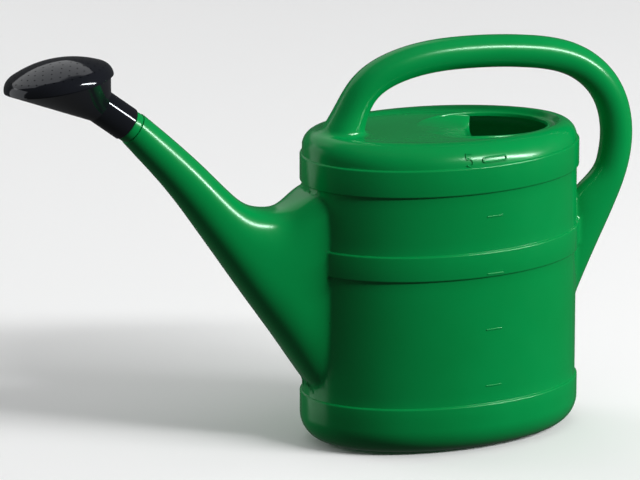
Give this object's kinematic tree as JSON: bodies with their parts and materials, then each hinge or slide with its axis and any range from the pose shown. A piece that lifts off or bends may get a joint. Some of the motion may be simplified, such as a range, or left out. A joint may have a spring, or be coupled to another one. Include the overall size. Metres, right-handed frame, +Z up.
{
  "type": "watering can",
  "caption": "Oval hollow watering can with an arched tube handle, a slanted gusseted spout and a domed, perforated rose on its neck.",
  "frame": {"origin": "centre of the oval base, on the surface that the can stands on", "axes": "+Z up, the spout points to -X and the handle to +X, +Y is the can's left seen from the handle; the green moulding is symmetric about Y = 0"},
  "size_m": [0.4942, 0.1424, 0.3151],
  "materials": {
    "green_plastic": "satin",
    "black_plastic": "gloss"
  },
  "bodies": {
    "can": {"base": "green_plastic", "tank": "green_plastic", "shoulder": "green_plastic", "spout": "green_plastic", "neck": "green_plastic", "handle": "green_plastic"},
    "rose": {"rose_socket": "black_plastic", "rose_funnel": "black_plastic"},
    "face": {"rose_face": "black_plastic"}
  },
  "joints": [
    {"name": "rose_turn", "type": "hinge", "parent": "can", "child": "rose", "pos_m": [-0.2418, 0, 0.2571], "axis": [-0.7912, 0, 0.6115], "continuous": true},
    {"name": "face_unclip", "type": "slide", "parent": "rose", "child": "face", "axis": [-0.1424, 0.0851, 0.9861], "range_m": [0, 0.014]}
  ]
}
